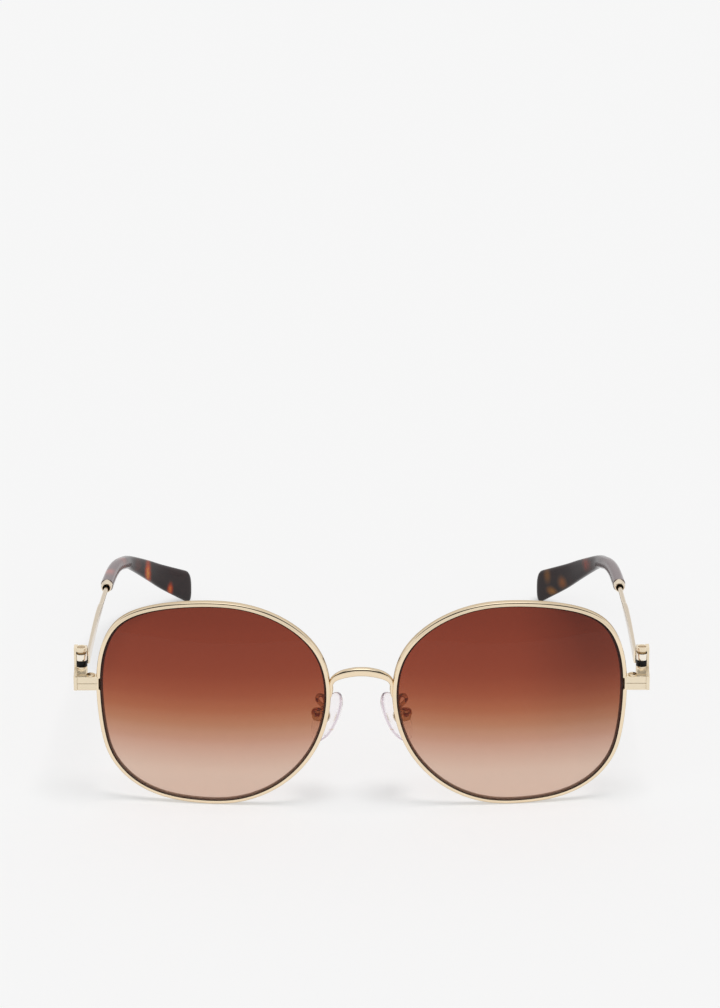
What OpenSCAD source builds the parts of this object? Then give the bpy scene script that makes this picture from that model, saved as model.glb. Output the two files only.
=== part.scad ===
// Round wire sunglasses, open and standing on the rims and the ends of the temples.
// The fronts of the lenses face -Y, +Z is up, and the wearer's left side is +X.

/* [Lenses] */
// Width of each lens across its box
lens_a = 57.4; // [50:0.2:60]
// Height of each lens across its box
lens_b = 53.6; // [46:0.2:57]
// Distance between the two lenses over the nose
lens_gap = 16.4; // [14:0.2:20]
// Thickness of each lens
lens_t = 1.6; // [1.2:0.1:1.7]
// Radius of the sphere that the lenses are bent to
lens_r = 88; // [80:1:120]
// Turn of each lens towards its temple, in degrees
wrap = 4; // [2:0.5:6]

/* [Rims] */
// Width of the rim wire, seen from the front
rim_w = 1; // [0.9:0.05:1.6]
// Depth of the rim wire from front to back
rim_d = 1.8; // [1.8:0.1:2.4]
// Depth of the groove that holds the lens
groove = 0.5; // [0.4:0.05:0.6]
// Rounding of the rim's outer corners
rim_round = 0.3; // [0.1:0.05:0.4]

/* [Bridge] */
// Height of the bridge's underside over the middle of the lenses
bridge_rise = 8.2; // [6:0.2:11]
// Height of the bridge wire at its middle
bridge_h = 2.2; // [1.6:0.1:2.4]
// Depth of the bridge wire at its middle
bridge_d = 2.1; // [1.8:0.1:2.6]
// Distance that the middle of the bridge stands in front of its legs
bridge_bow = 0.8; // [0:0.1:2]
// Length of the legs that run down the rims below the arch
bridge_leg = 5.8; // [4:0.1:7]
// Width of each leg
leg_w = 1.05; // [0.9:0.05:1.3]

/* [End pieces] */
// Height of the rim lock's split over the middle of the lenses
lock_rise = 4.4; // [2:0.1:6]
// Height of each half of the rim lock
lock_h = 1.8; // [1.5:0.1:2.4]
// Depth of the rim lock
lock_d = 2.3; // [2.1:0.1:2.8]
// Length of the rim lock from the rim to the side plate
lock_len = 4.8; // [4:0.2:7]
// Thickness of the side plate
plate_t = 0.85; // [0.8:0.05:1.2]
// Radius of the rim lock screw
lock_screw_r = 0.5; // [0.4:0.05:0.6]
// Radius of the rim lock screw's head
lock_head_r = 1.05; // [0.75:0.05:1.1]
// Height of the rim lock screw's head
lock_head_h = 0.35; // [0.3:0.05:0.6]

/* [Hinges] */
// Radius of the hinge barrel
barrel_r = 1.45; // [1.4:0.05:1.6]
// Distance of the hinge axis behind the rim lock
barrel_back = 2.3; // [2:0.1:3]
// Height of the lower knuckle
knuckle_low_h = 4.8; // [4.5:0.1:6]
// Height of the black spacer
spacer_h = 1.6; // [1.2:0.1:2]
// Height of the temple's knuckle
knuckle_mid_h = 1.75; // [1.5:0.05:2.2]
// Height of the friction washer
washer_h = 0.6; // [0.4:0.05:0.8]
// Height of the upper knuckle
knuckle_top_h = 0.9; // [0.85:0.05:1.4]
// Radius of the hinge screw
hinge_screw_r = 0.6; // [0.5:0.05:0.7]
// Radius of the hinge screw's head
hinge_head_r = 1; // [0.9:0.05:1.1]
// Height of the hinge screw's head
hinge_head_h = 0.5; // [0.4:0.05:0.6]

/* [Temples] */
// Length of each temple from the hinge axis to its ferrule
temple_len = 71; // [64:1:76]
// Height of the flat blade at the hinge
blade_h = 3.2; // [2.6:0.1:3.4]
// Thickness of the flat blade at the hinge
blade_t = 0.9; // [0.8:0.05:1.1]
// Radius of the round wire behind the blade
wire_r = 0.6; // [0.5:0.05:0.7]
// Radius of the ferrule
ferrule_r = 1.6; // [1.5:0.05:1.8]
// Radius of the ferrule's open mouth
mouth_r = 1.25; // [1.15:0.05:1.4]
// Length of the ferrule
ferrule_len = 3; // [2:0.1:4]

/* [Temple tips] */
// Length of each tip along the temple's line
tip_len = 53.5; // [48:0.5:58]
// How far the end of the tip curls in
tip_curl = 18.4; // [16:0.2:21]
// How far the end of the tip drops below the temple's line
tip_drop = 13.9; // [10:0.1:18]
// Upright height of the tip at its end
tip_h = 8.9; // [6:0.1:9.5]
// Thickness of the tip at its end
tip_t = 2.8; // [2.2:0.1:3.2]

/* [Nose pads] */
// Length of each pad
pad_len = 14.2; // [11:0.1:15]
// Width of each pad
pad_w = 7.8; // [6:0.1:8.5]
// Thickness of each pad
pad_t = 2.5; // [1.8:0.1:2.6]
// Distance between the screws of the two pads
pad_span = 20.8; // [20:0.2:25]
// Height of the pad screws below the middle of the lenses
pad_drop = 4.8; // [2:0.2:7]
// Distance of the pad screws behind the front of the rim locks
pad_back = 1.5; // [1:0.1:3]
// Turn of the pads out towards the face, in degrees
pad_splay = 33; // [22:1:36]
// Lean of the pads out at the bottom, in degrees
pad_flare = 28; // [18:1:32]
// Height of a pad arm's foot over the middle of the lenses
arm_foot = -2.4; // [-4:0.2:0]
// Height of a pad arm's loop over its pad's screw
arm_loop = 4.8; // [3.6:0.2:6]
// Radius of the wire of the pad arms
arm_r = 0.5; // [0.4:0.05:0.6]
// Radius of the box that holds a pad
box_r = 1.45; // [1.3:0.05:1.7]
// Radius of the pad screw
pad_screw_r = 0.3; // [0.25:0.05:0.35]

/* [Clearances] */
// Running clearance round the screws and between the knuckles
run_gap = 0.03; // [0.02:0.01:0.05]
// Gap between the blade and the hinge barrel
turn_gap = 0.32; // [0.3:0.02:0.5]
// Clearance between a lens and its groove
lens_play = 0.06; // [0.04:0.01:0.1]
// Depth that a soldered end sinks into the rim
solder = 0.3; // [0.2:0.05:0.4]
// Gap of the rim lock's split
split_gap = 0.06; // [0.04:0.01:0.1]

/* [Hidden] */
$fn = 48;

// Outline of the right-hand lens as seen from the front, as parts of its half width and half height.
// It starts at the temple side and goes round by the top.
LENS_SHAPE = [
  [1, -0.01], [0.995, 0.355], [0.9, 0.67], [0.7, 0.86], [0.38, 0.965],
  [0.03, 1], [-0.27, 0.975], [-0.55, 0.87], [-0.79, 0.685], [-0.955, 0.42],
  [-1, 0.055], [-0.925, -0.31], [-0.77, -0.6], [-0.525, -0.84], [-0.2, -0.985],
  [0.15, -0.997], [0.47, -0.95], [0.73, -0.81], [0.9, -0.585], [0.967, -0.335]
];
// Path of a temple tip behind its ferrule, as parts of its length, curl and drop, then its height and
// thickness as parts of the growth from the ferrule's size to the size at the tip's end.
TIP_SHAPE = [
  [0, 0, 0, 0, 0], [0.23, 0.034, -0.02, 0, 0.1], [0.38, 0.078, -0.01, 0, 0.2],
  [0.5, 0.142, 0.045, 0.03, 0.3], [0.62, 0.225, 0.15, 0.1, 0.4], [0.78, 0.46, 0.455, 0.44, 0.7],
  [0.88, 0.67, 0.7, 0.7, 0.9], [1, 1, 1, 1, 1]
];
// Rounded end of a tip: distance past its last point as a part of its thickness, then its scale.
TIP_END = [[0.2, 0.94], [0.4, 0.78], [0.52, 0.5]];
// How much more the end's height shrinks than its thickness
TIP_CORNER = 2.2;
// Rings of a pad from its back to the side on the nose: depth as a part of its thickness, then its scale.
PAD_RINGS = [[0, 0.8], [0.12, 0.95], [0.36, 1], [0.62, 0.94], [0.84, 0.76], [0.96, 0.48]];
// Places on the lens outline between which its nose side lies
NOSE_SPAN = [7, 13];
// Points on the rims between two points of the lens outline
RIM_STEPS = 3;
// Sides of a swept wire, a tip and a pad
WIRE_SIDES = 10;
TIP_SIDES = 12;
PAD_SIDES = 22;

// Sizes of the lens and rim seen along the edge
rim_out = rim_w - groove;
rim_mid = rim_d / 2;
lens_h = lens_b / 2 + rim_out;
function sag(u, v) = lens_r - sqrt(lens_r * lens_r - u * u - v * v);
lens_x = lens_gap / 2 + lens_a / 2 * cos(wrap) + sag(lens_a / 2, 0) * sin(wrap);
lens_y = -(lens_a / 2 + rim_out) * sin(wrap) - sag(lens_a / 2 + rim_out, 0) * cos(wrap);

// A point of the bent lens: u towards the temple, v up, d back from its front
function on_lens(u, v, d) =
  let (s = sag(u, v) + d)
  [lens_x + u * cos(wrap) - s * sin(wrap), lens_y + u * sin(wrap) + s * cos(wrap), lens_h + v];

function unit(v) = v / norm(v);
function around(i, n) = (i % n + n) % n;
function mean(points) = [for (p = points) 1] * points / len(points);

// Smooth closed curve: the points are pulled out a little, so that the curve passes through them
function pulled(points) =
  let (n = len(points))
  [for (i = [0 : n - 1])
    points[i] - (points[around(i - 1, n)] - 2 * points[i] + points[around(i + 1, n)]) / 6];
function blend4(a, b, c, d, f) =
  (pow(1 - f, 3) * a + (3 * pow(f, 3) - 6 * f * f + 4) * b
    + (-3 * pow(f, 3) + 3 * f * f + 3 * f + 1) * c + pow(f, 3) * d) / 6;
function closed_at(q, t) =
  let (n = len(q), i = floor(t))
  blend4(q[around(i - 1, n)], q[around(i, n)], q[around(i + 1, n)], q[around(i + 2, n)], t - i);

// Smooth open curve through every point of a list
function open_at(p, t) =
  let (
    i = max(0, min(len(p) - 2, floor(t))),
    f = t - i,
    a = i > 0 ? p[i - 1] : 2 * p[0] - p[1],
    b = p[i],
    c = p[i + 1],
    d = i + 2 < len(p) ? p[i + 2] : 2 * p[i + 1] - p[i]
  )
  b + (c - a) * f / 2 + (2 * a - 5 * b + 4 * c - d) * f * f / 2
    + (3 * b - a - 3 * c + d) * pow(f, 3) / 2;
function open_curve(p, steps) = [for (i = [0 : (len(p) - 1) * steps]) open_at(p, i / steps)];

// Outline of the lens's box in u and v, sized to its exact width and height
shape_q = pulled(LENS_SHAPE);
shape_n = len(LENS_SHAPE);
shape_fine = [for (i = [0 : shape_n * 12 - 1]) closed_at(shape_q, i / 12)];
shape_min = [min([for (p = shape_fine) p[0]]), min([for (p = shape_fine) p[1]])];
shape_max = [max([for (p = shape_fine) p[0]]), max([for (p = shape_fine) p[1]])];
function shape_at(t) =
  let (p = closed_at(shape_q, t))
  [for (k = [0, 1])
    ((p[k] - shape_min[k]) / (shape_max[k] - shape_min[k]) - 0.5) * [lens_a, lens_b][k]];
function shape_normal(t) =
  let (d = shape_at(t + 0.05) - shape_at(t - 0.05))
  unit([d[1], -d[0]]);
// Place along the outline of the height v on the temple side
function shape_find(v, low, high, n) =
  n == 0 ? (low + high) / 2
  : shape_at((low + high) / 2)[1] < v ? shape_find(v, (low + high) / 2, high, n - 1)
  : shape_find(v, low, (low + high) / 2, n - 1);
// Place along the outline of the height v on the nose side
function nose_find(v, low, high, n) =
  n == 0 ? (low + high) / 2
  : shape_at((low + high) / 2)[1] > v ? nose_find(v, (low + high) / 2, high, n - 1)
  : nose_find(v, low, (low + high) / 2, n - 1);
lock_at = shape_find(lock_rise, -2, 3, 30);
// A point of the rim or lens edge: r out from the lens's box, d back from the front
function edge_point(t, r, d) =
  let (p = shape_at(t) + shape_normal(t) * r)
  on_lens(p[0], p[1], d);

// Joins rings of points into one closed skin, with a fan of faces over each end
module skin(rings, start, end) {
  n = len(rings[0]);
  m = len(rings);
  points = concat([for (r = rings) each r], [start, end]);
  sides = [for (j = [0 : m - 2]) for (k = [0 : n - 1])
    let (a = j * n + k, b = j * n + (k + 1) % n)
    each [[a, b + n, b], [a, a + n, b + n]]];
  first = [for (k = [0 : n - 1]) [m * n, k, (k + 1) % n]];
  last = [for (k = [0 : n - 1]) [m * n + 1, (m - 1) * n + (k + 1) % n, (m - 1) * n + k]];
  polyhedron(points, concat(sides, first, last));
}

// Rounded box of width w and height h about a centre; power 2 is an ellipse
function ring(c, side, up, w, h, power, count) =
  [for (k = [0 : count - 1])
    let (x = cos(360 * k / count), y = sin(360 * k / count))
    c + side * (sign(x) * pow(abs(x), 2 / power) * w / 2) + up * (sign(y) * pow(abs(y), 2 / power) * h / 2)];
function tangents(p) =
  [for (i = [0 : len(p) - 1]) unit(p[min(i + 1, len(p) - 1)] - p[max(i - 1, 0)])];
// Rings along a path, each as w wide across the path and as h high towards the direction up
function rings_along(path, up, w, h, power, count) =
  let (t = tangents(path))
  [for (i = [0 : len(path) - 1])
    let (side = unit(cross(up, t[i])))
    ring(path[i], side, cross(t[i], side), w[i], h[i], power[i], count)];
// Sideways directions carried along a path with the least twist
function carried(t, side, i = 0, out = []) =
  i == len(t) ? out
  : let (s = unit(side - (side * t[i]) * t[i])) carried(t, s, i + 1, concat(out, [s]));

module pipe(path, r) {
  t = tangents(path);
  side = carried(t, cross(t[0], unit(path[1] - path[0] + [0, 0, 1])));
  rings = [for (i = [0 : len(path) - 1])
    ring(path[i], side[i], cross(t[i], side[i]), 2 * r, 2 * r, 2, WIRE_SIDES)];
  skin(rings, path[0], path[len(path) - 1]);
}

// Places that the pieces share
lock_z = lens_h + lock_rise;
lock_low = lock_z - lock_h;
lock_top = lock_z + lock_h;
lock_rim_x = edge_point(lock_at, rim_out, rim_mid)[0];
plate_in = lock_rim_x + lock_len;
plate_out = plate_in + plate_t;
// The least wall between the barrel and the outside of the side plate
relief_wall = 0.3;
hinge_x = plate_out - relief_wall - run_gap - barrel_r;
hinge_y = lock_d + barrel_back;
knuckle_low_top = lock_low + knuckle_low_h;
spacer_z = knuckle_low_top + run_gap;
knuckle_mid_z = spacer_z + spacer_h + run_gap;
washer_z = knuckle_mid_z + knuckle_mid_h + run_gap;
knuckle_top_z = washer_z + washer_h + run_gap;
barrel_top = knuckle_top_z + knuckle_top_h;
screw_x = lock_rim_x + lock_len * 0.3;
screw_y = lock_d / 2;

// The temple's own frame: x outwards from the hinge axis, y along the blade, z across it
blade_z = (knuckle_mid_z + knuckle_mid_h + spacer_z) / 2;
blade_x = -(barrel_r * 0.75 + blade_t / 2);
tip_start = temple_len + ferrule_len;
tip_shift = -(ferrule_r - wire_r) * 0.35;
function tip_point(q) =
  [blade_x + tip_shift - q[1] * tip_curl, tip_start + q[0] * tip_len, -q[2] * tip_drop];
tip_rows = open_curve(TIP_SHAPE, 2);
tip_path = [for (q = tip_rows) tip_point(q)];
tip_w = [for (q = tip_rows) 2 * ferrule_r + (tip_t - 2 * ferrule_r) * q[4]];
tip_heights = [for (q = tip_rows) 2 * ferrule_r + (tip_h - 2 * ferrule_r) * q[3]];
tip_last = tip_path[len(tip_path) - 1];
tip_end_dir = unit(tip_last - tip_path[len(tip_path) - 2]);
tip_all = concat(tip_path, [for (e = TIP_END) tip_last + tip_end_dir * (e[0] * tip_t)]);
tip_all_w = concat(tip_w, [for (e = TIP_END) tip_t * e[1]]);
tip_all_h = concat(tip_heights, [for (e = TIP_END) tip_h - (1 - e[1]) * tip_t * TIP_CORNER]);
tip_dirs = concat([[0, 1, 0]], tangents(tip_all));
tip_rings = [for (i = [0 : len(tip_all) - 1])
  let (d = tip_dirs[i == 0 ? 0 : i + 1], side = unit([d[1], -d[0], 0]))
  ring(tip_all[i], side, [0, 0, 1], tip_all_w[i], tip_all_h[i], 2.6, TIP_SIDES)];

// The temples lean down just far enough for the tips to stand on the floor
temple_pitch = min([for (r = tip_rings) for (p = r)
  atan2(p[2], p[1]) + asin(blade_z / norm([p[1], p[2]]))]);
blade_start = sqrt(pow(barrel_r + turn_gap, 2) - pow(barrel_r * 0.75, 2)) + blade_h / 2 * sin(temple_pitch);
tip_reach = max([for (r = tip_rings) for (p = r) p[1] * cos(temple_pitch) + p[2] * sin(temple_pitch)]);

// The origin is under the middle of the whole part
front_reach = min([for (i = [0 : shape_n * RIM_STEPS - 1]) edge_point(i / RIM_STEPS, rim_out, 0)[1]]);
back_reach = hinge_y + tip_reach;
shift_y = -(min(front_reach, lens_y + (rim_d - lens_t) / 2) + back_reach) / 2;

module placed(side) {
  translate([0, shift_y, 0]) mirror([side < 0 ? 1 : 0, 0, 0]) children();
}

module in_temple() {
  translate([hinge_x, hinge_y, blade_z]) rotate([-temple_pitch, 0, 0]) children();
}

// The pad's own frame: x away from the nose, y across the pad to the back, z up along it
module in_pad() {
  translate(pad_at) rotate([0, -pad_flare, 0]) rotate([0, 0, -pad_splay]) children();
}
pad_at = [pad_span / 2, pad_back, lens_h - pad_drop];
box_back_h = box_r;
core_r = box_r * 0.55;
core_half = box_r * 0.34;
pad_face = -box_r;
pad_head_r = pad_screw_r * 1.8;
pad_x = [
  cos(pad_splay) * cos(pad_flare), -sin(pad_splay), cos(pad_splay) * sin(pad_flare)
];

// One rim wire, open at the rim lock, with the groove for the lens along its inside.
// The inner front lip is cut back beside the lock.
module rim() {
  half = groove * 0.7;
  lip = 0.12;
  slit = split_gap / lens_b;
  notch = lock_h * 4.2 / lens_b;
  steps = shape_n * RIM_STEPS;
  places = concat(
    [slit, notch, notch + 0.02], [for (i = [1 : steps - 1]) i / RIM_STEPS],
    [shape_n - notch - 0.02, shape_n - notch, shape_n - slit]
  );
  rings = [for (s = places)
    let (t = lock_at + s, cut = s < notch + 0.01 || s > shape_n - notch - 0.01, r_lip = cut ? -lip : -groove)
    [for (q = [
      [lip / 4, rim_mid], [r_lip, rim_mid - half], [r_lip, lip], [r_lip + lip, 0],
      [rim_out - rim_round, 0], [rim_out, rim_round], [rim_out, rim_d - rim_round],
      [rim_out - rim_round, rim_d], [lip - groove, rim_d], [-groove, rim_d - lip], [-groove, rim_mid + half]
    ]) edge_point(t, q[0], q[1])]];
  ends = [for (s = [slit, shape_n - slit]) edge_point(lock_at + s, rim_out / 2, rim_mid)];
  color([0.84, 0.76, 0.58]) skin(rings, ends[0], ends[1]);
}

// One tinted lens with its bevel, as rings from the back to the front
module lens() {
  front = (rim_d - lens_t) / 2;
  back = front + lens_t;
  edge = -groove - lens_play;
  half = groove * 0.7 - lens_play;
  steps = shape_n * RIM_STEPS;
  function lens_ring(k, r, d) = [for (i = [0 : steps - 1])
    let (p = (shape_at(lock_at + i / RIM_STEPS) + shape_normal(lock_at + i / RIM_STEPS) * r) * k)
    on_lens(p[0], p[1], d)];
  rings = [
    lens_ring(0.4, edge, back), lens_ring(0.75, edge, back), lens_ring(1, edge, back),
    lens_ring(1, edge, rim_mid + half), lens_ring(1, -lens_play, rim_mid),
    lens_ring(1, edge, rim_mid - half),
    lens_ring(1, edge, front), lens_ring(0.75, edge, front), lens_ring(0.4, edge, front)
  ];
  color([0.45, 0.25, 0.19, 0.8]) skin(rings, on_lens(0, 0, back), on_lens(0, 0, front));
}

// Arched wire over the nose, with a leg down the side of each rim
module bridge() {
  leg_low = lens_h + bridge_rise - bridge_leg;
  arch_z = lens_h + bridge_rise + bridge_h / 2;
  function size_at(g) = [leg_w, rim_d] * (1 - g) + [bridge_h, bridge_d] * g;
  function beside(z, w) =
    edge_point(nose_find(z - lens_h, NOSE_SPAN[0], NOSE_SPAN[1], 24), rim_out, rim_mid)
      + [solder - w / 2, 0, 0];
  // Height up the leg and growth of the wire; the foot is thinner than the leg
  leg_rows = [[0, -0.45], [0.3, -0.1], [0.55, 0]];
  leg = [for (q = leg_rows) beside(leg_low + bridge_leg * q[0], size_at(q[1])[0])];
  top = leg[2];
  // Quarter of an arch: angle, width and depth as parts of the growth from the leg to the middle
  arch = [for (q = [[25, 0.4], [50, 0.85], [74, 1]])
    [top[0] * cos(q[0]), top[1] - bridge_bow * sin(q[0]), top[2] + (arch_z - top[2]) * sin(q[0]), q[1]]];
  half = concat(leg, [for (q = arch) [q[0], q[1], q[2]]]);
  grow = concat([for (q = leg_rows) q[1]], [for (q = arch) q[3]]);
  n = len(half);
  points = concat(half, [[0, top[1] - bridge_bow, arch_z]],
    [for (i = [n - 1 : -1 : 0]) [-half[i][0], half[i][1], half[i][2]]]);
  grown = concat(grow, [1], [for (i = [n - 1 : -1 : 0]) grow[i]]);
  path = open_curve(points, 2);
  size = open_curve([for (g = grown) size_at(g)], 2);
  rings = rings_along(path, [0, 1, 0], [for (s = size) s[0]], [for (s = size) s[1]],
    [for (s = size) 2.4], WIRE_SIDES);
  color([0.84, 0.76, 0.58]) skin(rings, path[0], path[len(path) - 1]);
}

// One half of the rim lock, bored for the screw that pulls the two halves together
module lock_half(low) {
  color([0.84, 0.76, 0.58]) difference() {
    translate([lock_rim_x - solder, 0, low]) cube([lock_len + solder, lock_d, lock_h - split_gap / 2]);
    translate([screw_x, screw_y, low - 1]) cylinder(r = lock_screw_r + run_gap, h = lock_h + 2);
  }
}

// A slotted screw standing on its head's underside at z = 0, with the head up
module slotted_screw(r, len, head_r, head_h) {
  difference() {
    union() {
      translate([0, 0, -len]) cylinder(r = r, h = len);
      cylinder(r = head_r, h = head_h);
    }
    translate([-head_r - 1, -head_r * 0.14, head_h * 0.5]) cube([2 * head_r + 2, head_r * 0.28, head_h]);
  }
}

module lock_screw() {
  color([0.8, 0.72, 0.55]) translate([screw_x, screw_y, lock_top])
    slotted_screw(lock_screw_r, lock_h * 1.8, lock_head_r, lock_head_h);
}

// Side plate with the upper and lower knuckles of the hinge
module end_piece() {
  step_z = lock_top + (knuckle_low_top - lock_top) * 0.9;
  back = hinge_y + barrel_r * 1.14;
  // Hollow slope in front of the lower knuckle, from the lock's top up to the knuckle's own
  foot_z = lock_top + run_gap;
  foot_h = knuckle_low_top - foot_z;
  foot_len = hinge_y - lock_d * 0.55;
  slope = concat([[hinge_y - foot_len, foot_z]], [for (a = [0 : 15 : 90])
    [hinge_y - foot_len + foot_len * 0.72 * sin(a), foot_z + foot_h * (0.14 + 0.8 * (1 - cos(a)))]]);
  color([0.84, 0.76, 0.58]) difference() {
    union() {
      translate([plate_in, 0, 0]) rotate([90, 0, 90]) linear_extrude(height = plate_t) polygon([
        [0, lock_low], [back, lock_low], [back, barrel_top], [hinge_y - barrel_r * 0.6, barrel_top],
        [hinge_y - barrel_r * 0.6, step_z], [lock_d * 0.25, lock_top], [0, lock_top]
      ]);
      translate([hinge_x, hinge_y, lock_low]) cylinder(r = barrel_r, h = knuckle_low_h);
      translate([hinge_x, lock_d + run_gap, lock_low])
        cube([plate_in - hinge_x + plate_t / 4, hinge_y - lock_d, 2 * lock_h]);
      translate([hinge_x - barrel_r * 0.8, 0, 0]) rotate([90, 0, 90])
        linear_extrude(height = plate_in - hinge_x + barrel_r * 0.8 + plate_t / 4)
        polygon(concat([[hinge_y, foot_z]], slope, [[hinge_y, foot_z + foot_h * 0.94]]));
      translate([hinge_x, hinge_y, knuckle_top_z]) cylinder(r = barrel_r, h = knuckle_top_h);
      translate([hinge_x, hinge_y - barrel_r * 0.6, knuckle_top_z])
        cube([plate_out - hinge_x, barrel_r * 1.2, knuckle_top_h]);
    }
    translate([hinge_x, hinge_y, knuckle_low_top])
      cylinder(r = barrel_r + run_gap, h = knuckle_top_z - knuckle_low_top);
    translate([hinge_x, hinge_y, lock_low - 1]) cylinder(r = hinge_screw_r + run_gap, h = barrel_top);
    translate([hinge_x, hinge_y, barrel_top - hinge_head_h])
      cylinder(r = hinge_head_r + run_gap, h = hinge_head_h + 1);
  }
}

module barrel_ring(r, low, h) {
  translate([hinge_x, hinge_y, low]) difference() {
    cylinder(r = r, h = h);
    translate([0, 0, -1]) cylinder(r = hinge_screw_r + run_gap, h = h + 2);
  }
}

module hinge_spacer() {
  color([0.05, 0.05, 0.05]) barrel_ring(barrel_r, spacer_z, spacer_h);
}

module hinge_washer() {
  color([0.45, 0.35, 0.2]) barrel_ring(barrel_r * 0.88, washer_z, washer_h);
}

module hinge_screw() {
  color([0.8, 0.72, 0.55]) translate([hinge_x, hinge_y, barrel_top - hinge_head_h])
    slotted_screw(hinge_screw_r, barrel_top - hinge_head_h - lock_low - lock_h / 3,
      hinge_head_r, hinge_head_h);
}

// Ring of the hinge that turns with the temple, and the leaf that holds the blade
module temple_knuckle() {
  leaf_x = blade_x + blade_t / 2 - solder / 2;
  leaf_len = barrel_r * 3.4;
  color([0.84, 0.76, 0.58]) difference() {
    union() {
      translate([hinge_x, hinge_y, knuckle_mid_z]) cylinder(r = barrel_r, h = knuckle_mid_h);
      translate([hinge_x + leaf_x, hinge_y, knuckle_mid_z])
        cube([blade_t * 0.8 + solder / 2, leaf_len, knuckle_mid_h]);
    }
    translate([hinge_x, hinge_y, knuckle_mid_z - 1])
      cylinder(r = hinge_screw_r + run_gap, h = knuckle_mid_h + 2);
  }
}

// Flat blade that becomes a round wire, and runs on inside the tip as its core
module temple() {
  core = 10;
  rows = [
    [blade_start, 0, blade_t, blade_h, 5], [blade_start * 3, 0, blade_t, blade_h, 5],
    [temple_len * 0.42, 0.15, blade_t * 1.2, blade_h * 0.8, 4.5],
    [temple_len * 0.64, 0.1, blade_t * 1.4, blade_h * 0.6, 4],
    [temple_len * 0.72, 0, blade_t * 1.45, wire_r * 2.6, 3.4],
    [temple_len * 0.78, -0.1, wire_r * 2, wire_r * 2.1, 2],
    [temple_len, tip_shift, wire_r * 2, wire_r * 2, 2], [tip_start, tip_shift, wire_r * 2, wire_r * 2, 2]
  ];
  inside = [for (i = [2 : core]) tip_path[i]];
  path = concat([for (q = rows) [blade_x + q[1], q[0], 0]], inside);
  w = concat([for (q = rows) q[2]], [for (p = inside) wire_r * 2]);
  h = concat([for (q = rows) q[3]], [for (p = inside) wire_r * 2]);
  power = concat([for (q = rows) q[4]], [for (p = inside) 2]);
  color([0.84, 0.76, 0.58]) in_temple()
    skin(rings_along(path, [0, 0, 1], w, h, power, WIRE_SIDES), path[0], path[len(path) - 1]);
}

module ferrule() {
  depth = ferrule_len * 0.45;
  color([0.84, 0.76, 0.58])
  in_temple() translate([blade_x + tip_shift, temple_len, 0]) rotate([-90, 0, 0]) difference() {
    cylinder(r1 = mouth_r, r2 = ferrule_r, h = ferrule_len);
    translate([0, 0, -1]) cylinder(r = mouth_r * 0.76, h = depth + 1);
    translate([0, 0, -1]) cylinder(r = wire_r + run_gap, h = ferrule_len + 2);
  }
}

module temple_tip() {
  color([0.24, 0.2, 0.2]) in_temple()
    skin(tip_rings, tip_path[0], tip_last + tip_end_dir * (0.56 * tip_t));
}

// Sprung wire from the back of the rim up, round and down to the back of the pad's box
module pad_arm() {
  foot = edge_point(nose_find(arm_foot, NOSE_SPAN[0], NOSE_SPAN[1], 24), (rim_out - groove) / 2, rim_d);
  top = pad_at + [0.165, -0.085, 1] * arm_loop;
  box_back = pad_at + pad_x * box_back_h;
  // Way from the foot to the loop's top, then round the loop, and the last bend into the box
  loop = [
    [-0.105, -0.125, -0.145], [0, 0, 0], [-0.105, 0.25, 0.085],
    [-0.335, 0.27, 0], [-0.415, 0.06, -0.25], [-0.31, -0.125, -0.52]
  ];
  points = concat(
    [foot, foot + [0.19, 0.23, 0.27] * arm_loop], [for (q = loop) top + q * arm_loop],
    [box_back + (pad_x * 0.21 + [-0.105, 0, 0.27]) * arm_loop],
    [box_back + (pad_x * 0.19 + [0, 0, 0.06]) * arm_loop, box_back - pad_x * solder]
  );
  color([0.84, 0.76, 0.58]) pipe(open_curve(points, 2), arm_r);
}

// Cup on the end of the arm, slotted for the pad's core
module pad_box() {
  front = box_r * 0.66;
  slot = core_half + run_gap;
  flat = box_r * 0.7;
  color([0.84, 0.76, 0.58]) in_pad() difference() {
    translate([-front, 0, 0]) rotate([0, 90, 0]) cylinder(r = box_r, h = front + box_back_h);
    translate([-front - 1, -slot, -box_r - 1]) cube([front + 1 + core_r + 0.1, 2 * slot, 2 * box_r + 2]);
    rotate([90, 0, 0]) cylinder(r = pad_screw_r + run_gap, h = 2 * box_r + 2, center = true);
    translate([-pad_head_r - run_gap, -box_r - 1, -pad_head_r - run_gap])
      cube([2 * (pad_head_r + run_gap), 1 + box_r - flat, 2 * (pad_head_r + run_gap)]);
  }
}

// Core moulded into the pad, with the eye that the pad screw passes through
module pad_core() {
  neck = pad_t * 0.16;
  disc = pad_t * 0.2;
  color([0.8, 0.8, 0.82]) in_pad() difference() {
    union() {
      rotate([90, 0, 0]) cylinder(r = core_r, h = 2 * core_half, center = true);
      translate([pad_face - neck, -core_half, -core_r]) cube([-pad_face + neck, 2 * core_half, 2 * core_r]);
      translate([pad_face - neck - disc, 0, 0]) rotate([0, 90, 0]) cylinder(r = core_r * 2, h = disc);
    }
    rotate([90, 0, 0]) cylinder(r = pad_screw_r + run_gap, h = 2 * box_r, center = true);
  }
}

module pad_screw() {
  flat = box_r * 0.7;
  color([0.8, 0.72, 0.55]) in_pad() translate([0, -flat - run_gap / 3, 0]) rotate([90, 0, 0])
    slotted_screw(pad_screw_r, flat + box_r * 0.85, pad_head_r, pad_screw_r);
}

// Clear pad: rings from its flat back to its crowned face, a little wider towards the bottom
module nose_pad() {
  function pad_ring(q) = [for (k = [0 : PAD_SIDES - 1])
    let (a = 360 * k / PAD_SIDES, z = cos(a), y = sin(a))
    [pad_face - q[0] * pad_t, y * q[1] * pad_w / 2 * (1 - 0.12 * z), z * q[1] * pad_len / 2]];
  rings = [for (q = PAD_RINGS) pad_ring(q)];
  color([0.92, 0.88, 0.9, 0.5]) in_pad() skin(rings, [pad_face, 0, 0], [pad_face - pad_t, 0, 0]);
}

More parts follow.
